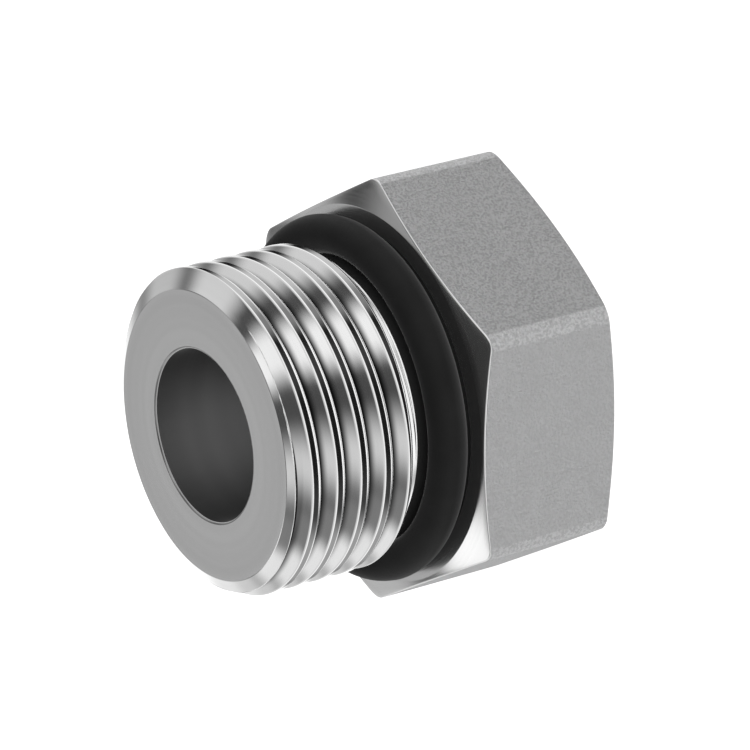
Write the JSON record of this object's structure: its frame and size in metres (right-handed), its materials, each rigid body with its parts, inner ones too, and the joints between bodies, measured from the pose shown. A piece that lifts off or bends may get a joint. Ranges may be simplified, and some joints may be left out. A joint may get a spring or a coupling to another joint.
{
  "type": "o-ring boss plug",
  "caption": "Hexagon head screw plug with a straight thread, a plain neck, a blind bore in the thread end and a round-section sealing ring against its shoulder.",
  "frame": {"origin": "centre of the hexagon head's back face, which the plug stands on", "axes": "+Z along the thread, from the head to the open end of the bore; +X square to a flat of the hexagon; +Y towards a corner of the hexagon"},
  "size_m": [0.0222, 0.0254, 0.0202],
  "materials": {
    "steel": "bright turned steel, satin on the hexagon",
    "rubber": "matt black moulded rubber"
  },
  "bodies": {
    "root": {"plug_body": "steel", "o_ring": "rubber"}
  },
  "joints": []
}
